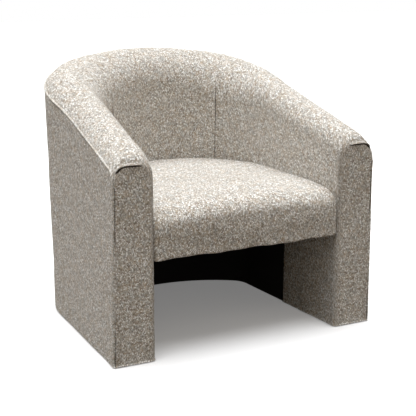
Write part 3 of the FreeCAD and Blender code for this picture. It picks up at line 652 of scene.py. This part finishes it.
def add_arm(side, mirror):
    """Top, inside and front face of an arm and the inner side of its leg, as one sheet."""
    slices = arm_slices()
    body = wall_points(slices)
    cols = body.shape[1]
    leg = np.array([[s.place(n, z) for n, z, _ in section(s, True)[cols:]]
                    for s in slices if s.y0 <= FABRIC_DEPTH + 3.0])
    face = arm_face(slices[0], np.concatenate([body[0], leg[0]]), cols - 1)
    p = np.concatenate([face.reshape(-1, 3), body.reshape(-1, 3), leg.reshape(-1, 3)])
    in_face = np.arange(face[..., 0].size).reshape(face.shape[:2])
    in_body = np.arange(body[..., 0].size).reshape(body.shape[:2]) + in_face.size
    in_leg = np.arange(leg[..., 0].size).reshape(leg.shape[:2]) + in_face.size + in_body.size
    blocks = [squares(np.vstack([in_face, np.concatenate([in_body[0], in_leg[0]])])),
              squares(in_body), squares(np.hstack([in_body[:len(leg), -1:], in_leg]))]
    quads = np.concatenate(blocks)

    # Place in the weave
    tall = lengths(body)
    run = running(body, RUN_COLUMN)[:, None]
    v_body = tall - tall[:, OVER_COLUMNS:OVER_COLUMNS + 1]
    v_leg = v_body[:len(leg), -1:] + DECK - leg[..., 2]
    place = np.empty((len(p), 2))
    place[in_body] = np.stack(np.broadcast_arrays(run, v_body), axis=-1)
    place[in_leg] = np.stack(np.broadcast_arrays(run[:len(leg)], v_leg), axis=-1)
    uv = np.concatenate([p[blocks[0]][..., [0, 2]] * (1.0, -1.0)] + [place[b] for b in blocks[1:]])

    # Softness
    normal = vertex_normals(p, quads)
    push = 0.7 * waves(p, 95.0, 3) + 0.25 * waves(p, 30.0, 4)
    push[in_face] -= FACE_DIP * round_over(np.linalg.norm(face - face[0], axis=-1), FACE_DIP_WIDTH)
    angles = np.array([slices[-1].angle - s.angle for s in slices])
    past_face = np.array([[s.y0 > BARE_FACE] for s in slices])
    tilt = np.array([[a for _, _, a in section(s)] for s in slices])
    push[in_body] += seam_push(body, angles) + slit_push(slices, tilt)
    push[in_body] -= WELT_DIP * round_over(tall, WELT_DIP_WIDTH) * past_face
    soft = p + normal * push[:, None]
    soft[:, :2] -= normal[:, :2] * hem_pull(p[:, 2:])
    soft[in_face[0]] = p[in_face[0]] + np.array([0.0, BEHIND_WELT, 0.0])
    obj = make("arm_cover_" + side, soft, quads[:, ::-1], uv[:, ::-1], mirror, FABRIC, thick=COVER)
    own(obj, "cover_fabric", "inside_arm_cover_" + side, "leg_cover_" + side,
        "arm_front_pad_" + side, fill=COVER_FILL)


def add_inside_back():
    """Middle panel of the inside, between the two upright seams."""
    slices = back_slices()
    body = wall_points(slices)
    quads = grid_quads(*body.shape[:2])
    p = body.reshape(-1, 3)
    tall = lengths(body)
    run = np.repeat(running(body, RUN_COLUMN)[:, None], body.shape[1], axis=1)
    uv = corner_uv(run, tall - tall[:, OVER_COLUMNS:OVER_COLUMNS + 1], quads)
    angles = np.array([s.angle for s in slices])
    push = seam_push(body, np.minimum(angles - angles[0], angles[-1] - angles))
    push -= WELT_DIP * round_over(tall, WELT_DIP_WIDTH)
    push = push.reshape(-1) + 0.8 * waves(p, 110.0, 7) + 0.25 * waves(p, 32.0, 8)
    soft = p + vertex_normals(p, quads) * push[:, None]
    obj = make("inside_back_cover_panel", soft, quads[:, ::-1], uv[:, ::-1], False, FABRIC,
               thick=COVER)
    own(obj, "cover_fabric", "inside_back_cover", fill=COVER_FILL)


# Outer covers
def add_outside(name, slices, node, mirror=False, both_seams=False):
    """Outer cover over these slices, with a seam at its last edge or at both."""
    body = np.array([[s.place(s.outer(z), z)
                      for z in HEM_HEIGHTS[:-1] + spread(HEM_HEIGHTS[-1], s.cover_top, 96)]
                     for s in slices])
    rows, cols = body.shape[:2]
    quads = grid_quads(rows, cols)
    p = body.reshape(-1, 3)
    run = running(body, 0)[:, None]
    uv = corner_uv(np.repeat(run, cols, axis=1), body[..., 2], quads)
    normal = vertex_normals(p, quads)
    inward = normal[:, 0] * p[:, 0] + normal[:, 1] * (p[:, 1] - TURN) < 0
    normal[inward] *= -1
    below_top = np.array([[s.cover_top] for s in slices]) - body[..., 2]
    push = -OUTSIDE_DIP * round_over(below_top, OUTSIDE_DIP_WIDTH)
    push += OUTSIDE_SEAM_SHARE * seam_valley(run[-1] - run)
    if both_seams:
        push += OUTSIDE_SEAM_SHARE * seam_valley(run)
    else:
        push -= (1 - np.clip(run / EDGE_DIP_WIDTH, 0, 1)) ** 2
    push = push.reshape(-1) + 0.7 * waves(p, 150.0, 11) + 0.2 * waves(p, 40.0, 12)
    soft = p + normal * (push - hem_pull(p[:, 2]))[:, None]
    own(make(name, soft, quads, uv, mirror, FABRIC, thick=COVER), "cover_fabric", node)


# Seat
SEAT_GAP = 0.8
SEAT_FRONT = 1.0
SEAT_BOTTOM = 270.0
SEAT_TOP = 418.0
SEAT_PLAN = SITTING_PLAN.inset(SEAT_GAP)
SIDE_ROLL = 11.0            # height and width of the rolls and crowns of its top
SIDE_ROLL_WIDTH = 15.0
SIDE_CROWN = 8.5
SIDE_CROWN_WIDTH = 170.0
FRONT_ROLL = 41.0
FRONT_ROLL_DEPTH = 54.0
FRONT_CROWN = 11.0
FRONT_CROWN_DEPTH = 150.0
LEVEL_FROM = 300.0          # behind this depth the run over the seat counts as level
FRONT_SWELL = 4.2
SWELL_HEIGHT = 335.0
SWELL_SPREAD = 42.0
CORNER_TUCK = 7.0           # the front wall recedes this far beside the arms
CORNER_TUCK_WIDTH = 9.0
SEAT_HEM_ROUND = 4.0


def seat_heights(points):
    """Heights of the seat's crowned cover at these places."""
    inside = np.array([max(SEAT_PLAN.clear(x, y), 0.0) for x, y in points])
    behind = np.array([max(y - SEAT_FRONT, 0.0) for _, y in points])
    side = (SIDE_ROLL * round_over(inside, SIDE_ROLL_WIDTH)
            + SIDE_CROWN * (1 - smooth(inside / SIDE_CROWN_WIDTH)))
    front = (FRONT_ROLL * round_over(behind, FRONT_ROLL_DEPTH)
             + FRONT_CROWN * (1 - smooth(behind / FRONT_CROWN_DEPTH)))
    return SEAT_TOP - side - front


RUN_Y = np.linspace(0.0, 640.0, 1281)
RUN_Z = np.where(RUN_Y < LEVEL_FROM, seat_heights([(0.0, SEAT_FRONT + y) for y in RUN_Y]), SEAT_TOP)
RUN = np.concatenate([[0.0], np.cumsum(np.hypot(np.diff(RUN_Y), np.diff(RUN_Z)))])


def seat_run(y):
    """Length over the seat from the top of its front wall back to this depth."""
    return np.interp(y - SEAT_FRONT, RUN_Y, RUN)


def seat_outline(inset, setback, front_points=150, side_points=110, turn_points=60):
    """Points round the seat from the front left corner, over the front to the right, and back."""
    plan = SEAT_PLAN.inset(inset)
    y0 = SEAT_FRONT + setback
    half = plan.side(y0)
    front = [(x, y0) for x in spread(-half, half, front_points)]
    right_half = [(plan.side(y), y) for y in spread(y0, plan.side_end_y, side_points)][1:]
    a0 = math.atan2(plan.side_end_y - plan.cy, plan.side(plan.side_end_y) - plan.cx)
    a1 = math.atan2((plan.cy - plan.back_y) / plan.centres, plan.cx / plan.centres)
    right_half += [(plan.cx + plan.corner * math.cos(a), plan.cy + plan.corner * math.sin(a))
                   for a in spread(a0, a1, turn_points)][1:]
    right_half += [(plan.back * math.cos(a), plan.back_y + plan.back * math.sin(a))
                   for a in spread(a1, math.pi / 2, 24)][1:]
    return front + right_half + [(-x, y) for x, y in right_half[-2::-1]][:-1]


def seat_rings():
    """Rings of points up the seat's walls and in over its top, and how many are walls."""
    outline = seat_outline(0.0, 0.0)
    rim = seat_heights(outline)
    steps = [0.0, 0.006, 0.02, 0.045, 0.08] + spread(0.12, 1.0, 34)
    rings = [np.column_stack([outline, SEAT_BOTTOM + (rim - SEAT_BOTTOM) * t]) for t in steps]
    for inset in [0.15, 0.6, 1.4, 2.6, 4.2, 6.2, 8.6, 11.5, 15.0] + spread(20.0, 176.0, 40):
        outline = seat_outline(inset, inset + 0.25 * max(inset - 20.0, 0.0))
        rings.append(np.column_stack([outline, seat_heights(outline)]))
    return np.array(rings), len(steps)


def add_seat():
    """Seat cover as one closed form: swelling front, rolled edge, crowned top."""
    rings, walls = seat_rings()
    rows, cols = rings.shape[:2]
    quads = grid_quads(rows, cols, closed=True)
    p = rings.reshape(-1, 3)
    x, y, z = p.T
    side_gap = np.maximum(SEAT_PLAN.side(y) - abs(x), 0.0)
    on_front = y < SEAT_FRONT + 0.01
    soft = p.copy()
    swell = FRONT_SWELL * np.exp(-((z - SWELL_HEIGHT) / SWELL_SPREAD) ** 2) * smooth(side_gap / 60.0)
    recess = CORNER_TUCK * round_over(side_gap, CORNER_TUCK_WIDTH)
    soft[:, 1] += (recess - swell) * (1 - smooth((y - SEAT_FRONT) / 45.0))
    soft[:, 1] += SEAT_HEM_ROUND * round_over(z - SEAT_BOTTOM, SEAT_HEM_ROUND) * on_front
    ripple = 1.3 * np.sin(x / 31.0 + 1.0) + 0.8 * np.sin(x / 13.0)
    soft[:, 2] += ripple * on_front * (1 - smooth((z - SEAT_BOTTOM) / 40.0))
    push = (0.9 * waves(p, 120.0, 21) + 0.3 * waves(p, 36.0, 22)) * smooth(side_gap / 12.0)
    soft += vertex_normals(p, quads) * push[:, None]

    # The weave runs straight back from the hem, over the rolled front edge
    hanging = np.zeros((rows, cols))
    hanging[:walls] = rings[walls - 1, :, 2] - rings[:walls, :, 2]
    run = seat_run(y) - hanging.reshape(-1) * on_front
    uv = np.stack([soft[:, 0][quads], run[quads]], axis=-1)
    last = (rows - 1) * cols
    top = [(last + i, last + (i + 1) % cols, len(soft)) for i in range(cols)]
    bottom = list(range(cols))[::-1]
    points = np.vstack([soft, soft[last:].mean(axis=0)])
    obj = make("seat_cover_form", points, quads, uv, False, FABRIC, extra=top + [bottom])
    place = obj.data.uv_layers["weave"].data
    for poly in obj.data.polygons[len(quads):]:
        for loop in poly.loop_indices:
            co = obj.data.vertices[obj.data.loops[loop].vertex_index].co
            place[loop].uv = (co.x, seat_run(co.y / MM + HALF_DEPTH) * MM)
    own(obj, "cover_fabric", "seat_cover", "seat_wadding", "seat_foam", "seat_front_pad",
        fill=COVER_FILL)


# Cords and edges
SIDES = (("right", False), ("left", True))
FORWARD = (0, -1, 0)
# Painted shade: dark cords beside the welts and down the inside seams stand in for the shade there
FRONT_LINE = 0.9            # radii of the dark lines beside the welts and down the inside
EDGE_LINE = 1.2
INSIDE_LINE = 1.15
INSIDE_LINE_SUNK = 1.8      # the inside line starts this far under the wall's form
INSIDE_LINE_RISE = 4.1      # and rises by this where its seam is deepest
STITCH_START = 10.0
STITCH_PITCH = 5.0
STITCH_DROP = 2.5           # below the edge of the outer cover
STITCH_LENGTH = 3.0
STITCH_RADIUS = 0.45


def tube(name, points, outward, radius, material, mirror=False, sides=12, flat=1.0, turn=0.0):
    """A cord through these points; its weave is wound round it by this turn."""
    p = np.array(points)
    along = np.gradient(p, axis=0)
    along /= np.linalg.norm(along, axis=1, keepdims=True)
    u = np.array(outward, dtype=float)
    u -= along * np.sum(u * along, axis=1, keepdims=True)
    u /= np.linalg.norm(u, axis=1, keepdims=True)
    v = np.cross(along, u)
    radii = np.broadcast_to(radius, (len(p),))
    around = [2 * math.pi * k / sides for k in range(sides)]
    rings = [p + (u * math.cos(a) * flat + v * math.sin(a)) * radii[:, None] for a in around]
    grid = np.stack(rings, axis=1)
    quads = grid_quads(len(p), sides, closed=True)
    run = np.concatenate([[0], np.cumsum(np.linalg.norm(np.diff(p, axis=0), axis=1))])
    c = np.arange(sides + 1) * 2 * math.pi * float(np.mean(radii)) / sides
    cols = np.arange(sides)
    uv = np.empty((len(p) - 1, sides, 4, 2))
    for i, (dr, dc) in enumerate(((0, 0), (0, 1), (1, 1), (1, 0))):
        uv[:, :, i, 0] = run[dr:len(p) - 1 + dr, None] + turn * c[cols + dc]
        uv[:, :, i, 1] = c[cols + dc][None, :]
    last = len(p) * sides
    ends = [tuple(range(sides))[::-1], tuple(range(last - sides, last))]
    return make(name, grid.reshape(-1, 3), quads, uv.reshape(-1, 4, 2), mirror, material, extra=ends)


def outward(run):
    return [(s.cos, s.sin, 0) for s in run]


def welt_points(run):
    return [s.place(s.outer(s.welt_z) + WELT_OUT, s.welt_z) for s in run]


def add_welts():
    """Piping up the front edge of each arm and along its top, and over the back."""
    foot = Slice(WELT_DEPTH)
    upright = [(foot.outer(z) + WELT_OUT, WELT_DEPTH, z) for z in spread(GROUND_GAP, foot.welt_z, 120)]
    radius = NOSE - WELT_DEPTH
    run = [Slice(WELT_DEPTH + radius * (1 - math.cos(a))) for a in spread(0, NOSE_TURN, 26)[1:]]
    run += arm_run(run[-1].y0, 70, 80)[1:]
    points = upright + welt_points(run)
    for side, mirror in SIDES:
        radii = WELT_RADIUS + uneven(len(points), 0.25, 31)
        own(tube("welt_arm_" + side, points, [(1, 0, 0)] * len(upright) + outward(run), radii,
                 WELT_FABRIC, mirror, turn=0.6), "welt_fabric", "arm_welt_" + side)
    run = back_slices(150)
    # Painted shadow: a dark cord under the back welt, along the top edge of the outer cover
    own(tube("outside_seam_back", cover_edge(run), outward(run), EDGE_LINE, PAINTED_SHADE), "welt_fabric")
    radii = WELT_RADIUS + uneven(len(run), 0.25, 32)
    own(tube("welt_back", welt_points(run), outward(run), radii, WELT_FABRIC, turn=0.6),
        "welt_fabric", "back_welt")


def slit_point(tilt, above, lift, forward):
    """A point this far above the slit, lifted off the nose and moved forward."""
    angle = float(slit_turn(tilt, above))
    y = NOSE * (1 - math.cos(angle))
    s = Slice(y)
    r = s.outer_r if tilt > 0 else s.inner_r
    raised = r + lift * math.sin(angle)
    t = math.radians(tilt)
    return (s.crest_n + raised * math.sin(t), y - forward - lift * math.cos(angle),
            s.crest - r + raised * math.cos(t))


def tapered(places, length):
    """Share of a cord's full radius at these places, rounded off at both ends."""
    places = np.array(places)
    near = np.minimum(abs(places - places[0]), abs(places - places[-1]))
    return np.sqrt(np.clip(near / length, 0.02, 1.0))


def add_fold(side, mirror):
    """The light folded edge that stands over the slit."""
    tilts = spread(SLIT_OUT + 6.0, SLIT_IN - 7.0, 60)
    points = [slit_point(a, FOLD_ABOVE, FOLD_LIFT, 0.0) for a in tilts]
    radii = FOLD_RADIUS * tapered(tilts, 9.0)
    own(tube("fold_arm_" + side, points, [FORWARD] * len(points), radii, FOLD_FABRIC, mirror,
             flat=0.75), "fold_fabric", "arm_fold_" + side)


def add_slit(side, mirror):
    """Painted shadow in the slit, under the folded edge: a dark cord put where there is only shade."""
    tilts = spread(SLIT_OUT + 5.0, SLIT_IN - 5.0, 60)
    points = [slit_point(a, -SLIT_SHADE_BELOW, 0.0, SLIT_SHADE_FORWARD) for a in tilts]
    wide = SLIT_SHADE_RADIUS + SLIT_SHADE_WIDENING * np.exp(-((SLIT_OUT - np.array(tilts)) / 8.0) ** 2)
    own(tube("painted_shade_cord_" + side, points, [FORWARD] * len(points), wide * tapered(tilts, 10.0), PAINTED_SHADE,
             mirror, flat=0.8), "fold_fabric")


def cover_edge(run):
    """Line along the top edge of the outer cover."""
    return [s.place(s.outer(s.cover_top) + 0.2, s.cover_top - 0.2) for s in run]


def add_seam_lines(side, mirror):
    """Painted shade beside the piping and down the seams of the inside: dark cords where the seams are
    only in shade.
    """
    foot = Slice(WELT_DEPTH)
    upright = [(foot.outer(z) - 3.6, 0.7, z)
               for z in spread(GROUND_GAP + 1.0, foot.welt_z - 6.0, 90)]
    own(tube("front_seam_" + side, upright, [FORWARD] * len(upright), FRONT_LINE, PAINTED_SHADE, mirror),
        "welt_fabric")
    run = arm_run(24.0, 60, 76)
    own(tube("outside_seam_" + side, cover_edge(run), outward(run), EDGE_LINE, PAINTED_SHADE, mirror),
        "welt_fabric")
    s = Slice(TURN, SEAM_ANGLE)
    down, away = [], []
    for n, z, a in section(s)[OVER_COLUMNS + 12:]:
        t = math.radians(a)
        raised = INSIDE_LINE_RISE * seam_fade(s.crest - z) - INSIDE_LINE_SUNK
        down.append(s.place(n + raised * math.sin(t), z + raised * math.cos(t)))
        away.append((s.cos * math.sin(t), s.sin * math.sin(t), math.cos(t)))
    own(tube("inside_seam_" + side, down, away, INSIDE_LINE, PAINTED_SHADE, mirror), "cover_fabric")


def capsules(name, centres, directions, length, radius, mirror, ring=6):
    """Row of short threads."""
    profile = ((-0.5, 0.25), (-0.32, 1.0), (0.32, 1.0), (0.5, 0.25))
    p, quads = [], []
    for c, d in zip(centres, directions):
        c, d = np.array(c), np.array(d) / np.linalg.norm(d)
        u = np.cross(d, (0.3, 0.5, 0.81))
        u /= np.linalg.norm(u)
        v = np.cross(d, u)
        quads += (grid_quads(len(profile), ring, closed=True) + len(p)).tolist()
        for t, r in profile:
            for j in range(ring):
                a = 2 * math.pi * j / ring
                p.append(c + d * t * length + (u * math.cos(a) + v * math.sin(a)) * radius * r)
    return make(name, p, np.array(quads), None, mirror, THREAD)


def add_stitches(side, mirror):
    """Threads up the front edge of an arm and along the top of its outer cover."""
    foot = Slice(WELT_DEPTH)
    heights = np.arange(STITCH_START, foot.welt_z - 4.0, STITCH_PITCH)
    centres = [(foot.outer(z) - 5.2, 0.0, z) for z in heights]
    directions = [(0, 0, 1)] * len(centres)
    line = [np.array(s.place(s.outer(s.cover_top - STITCH_DROP) + 0.1, s.cover_top - STITCH_DROP))
            for s in arm_run(40.0, 56, 76)]
    centres += [(a + b) / 2 for a, b in zip(line[:-1], line[1:])]
    directions += [b - a for a, b in zip(line[:-1], line[1:])]
    own(capsules("stitches_arm_" + side, centres, directions, STITCH_LENGTH, STITCH_RADIUS, mirror),
        "welt_fabric")


# Foams behind the covers
FOAM_DEPTH = 7.0            # below the covers
FOAM_BACK = 27.0
FOAM_SILL_DROP = 60.0


def foam_ring(s):
    """Closed outline of the foam in a slice, a little inside the cover."""
    d = FOAM_DEPTH
    sill = s.line - FOAM_SILL_DROP
    start = math.asin((s.inset - d) / (s.outer_r - d))
    end = math.pi / 2 - math.atan(s.inner_lean)
    top = s.crest - d
    ring = [(s.outer(sill) - d, sill)]
    ring += [(s.crest_n + (s.outer_r - d) * math.sin(a), top - (s.outer_r - d) * (1 - math.cos(a)))
             for a in spread(start, 0.0, 14)]
    ring += [(s.crest_n - (s.inner_r - d) * math.sin(a), top - (s.inner_r - d) * (1 - math.cos(a)))
             for a in spread(0.0, end, 16)[1:]]
    ring += [(s.inner(z) + d, z) for z in spread(ring[-1][1], DECK + 2.0, 14)[1:]]
    ring += [(s.inner(z) + FOAM_BACK, z) for z in spread(DECK + 2.0, sill, 14)]
    return ring


def add_foam(name, slices, mirror, node):
    grid = np.array([[s.place(n, z) for n, z in foam_ring(s)] for s in slices])
    rows, cols = grid.shape[:2]
    quads = grid_quads(rows, cols, closed=True)
    ends = [tuple(range(cols)), tuple(range((rows - 1) * cols, rows * cols))[::-1]]
    if mirror:
        ends = [e[::-1] for e in ends]
    obj = make(name, grid.reshape(-1, 3), quads[:, ::-1], None, mirror, FINISHES["foam"], extra=ends)
    own(obj, "foam", node, fill=1.0)


# Both sides, and the back and seat between them
for side, mirror in SIDES:
    add_arm(side, mirror)
    add_outside("outside_cover_" + side, arm_outside_slices(), "outside_arm_cover_" + side, mirror)
    add_fold(side, mirror)
    add_slit(side, mirror)
    add_foam("foam_arm_" + side, arm_run(FOAM_DEPTH + 3.0, 24, 20), mirror, "arm_wrap_foam_" + side)
    add_stitches(side, mirror)
    add_seam_lines(side, mirror)
add_inside_back()
add_foam("foam_back", back_slices(40), False, "back_wrap_foam")
add_outside("outside_cover_back", back_slices(), "outside_back_cover", both_seams=True)
add_seat()
add_welts()

# Finishes of the frame's own pieces
for part in frame["record"]["subparts"]:
    piece = frame["nodes"][part["node"]]
    finish = FINISHES.get(part["material_slot"], FABRIC)
    if piece.data.materials:
        for i in range(len(piece.data.materials)):
            piece.data.materials[i] = finish
    else:
        piece.data.materials.append(finish)

# Floor
FLOOR = 12.0                # half its width, in metres
scene = bpy.context.scene
floor_mesh = bpy.data.meshes.new("floor")
floor_mesh.from_pydata([(-FLOOR, -FLOOR, 0), (FLOOR, -FLOOR, 0), (FLOOR, FLOOR, 0),
                        (-FLOOR, FLOOR, 0)], [], [(0, 1, 2, 3)])
floor = bpy.data.objects.new("floor", floor_mesh)
scene.collection.objects.link(floor)
floor_mesh.materials.append(floor_material())

# Light: white where the camera sees the world, and a soft dome for the chair
AMBIENT = 0.30
DOME_LOW = (1.12, 0.92, 0.69)
DOME_HIGH = (1.62, 1.60, 1.56)
world = bpy.data.worlds.new("studio")
scene.world = world
world.use_nodes = True
sky = Socket(world.node_tree)
seen = sky.node("LightPath", {}, {}, "Is Camera Ray")
height = sky.node("SeparateXYZ", {}, {0: sky.node("TexCoord", {}, {}, "Generated")}, 2).held()
dome = mix_colour(sky, height, DOME_LOW, DOME_HIGH)
sky.fill(world.node_tree.nodes["Background"], {
    "Color": mix_colour(sky, seen, dome, (1.0, 1.0, 1.0)),
    "Strength": seen * (1.0 - AMBIENT) + AMBIENT})


def sun(name, direction, strength, spread_angle, colour):
    light = bpy.data.lights.new(name, "SUN")
    light.energy = strength
    light.angle = math.radians(spread_angle)
    light.color = colour
    obj = bpy.data.objects.new(name, light)
    obj.rotation_euler = Vector(direction).to_track_quat("Z", "Y").to_euler()
    scene.collection.objects.link(obj)


sun("key", (-0.02, 0.08, 0.985), 4.35, 60.0, (0.96, 0.975, 1.0))
sun("left_fill", (-0.95, -0.02, 0.30), 0.36, 50.0, (1.0, 0.98, 0.95))
sun("right_fill", (0.55, -0.80, 0.10), 0.24, 40.0, (1.0, 0.90, 0.76))

# Camera at the photograph's viewing angle, turned by these radians
YAW, PITCH, ROLL = 0.48480, 0.24234, 0.00478
FOCAL_PIXELS, IMAGE_PIXELS = 1050.0, 416
EYE = (-1353.98, -2328.59, 1045.17)
ahead = Vector((math.sin(YAW) * math.cos(PITCH), math.cos(YAW) * math.cos(PITCH), -math.sin(PITCH)))
level = Vector((math.cos(YAW), -math.sin(YAW), 0.0))
upright = level.cross(ahead)
right = level * math.cos(ROLL) + upright * math.sin(ROLL)
above = upright * math.cos(ROLL) - level * math.sin(ROLL)
camera = bpy.data.cameras.new("camera")
camera.sensor_width = 36.0
camera.lens = FOCAL_PIXELS / IMAGE_PIXELS * camera.sensor_width
camera_object = bpy.data.objects.new("camera", camera)
turned = Matrix((right, above, -ahead)).transposed().to_4x4()
camera_object.matrix_world = Matrix.Translation((Vector(EYE) - Vector((0, HALF_DEPTH, 0))) * MM) @ turned
scene.collection.objects.link(camera_object)
scene.camera = camera_object
scene.view_settings.view_transform = "Standard"
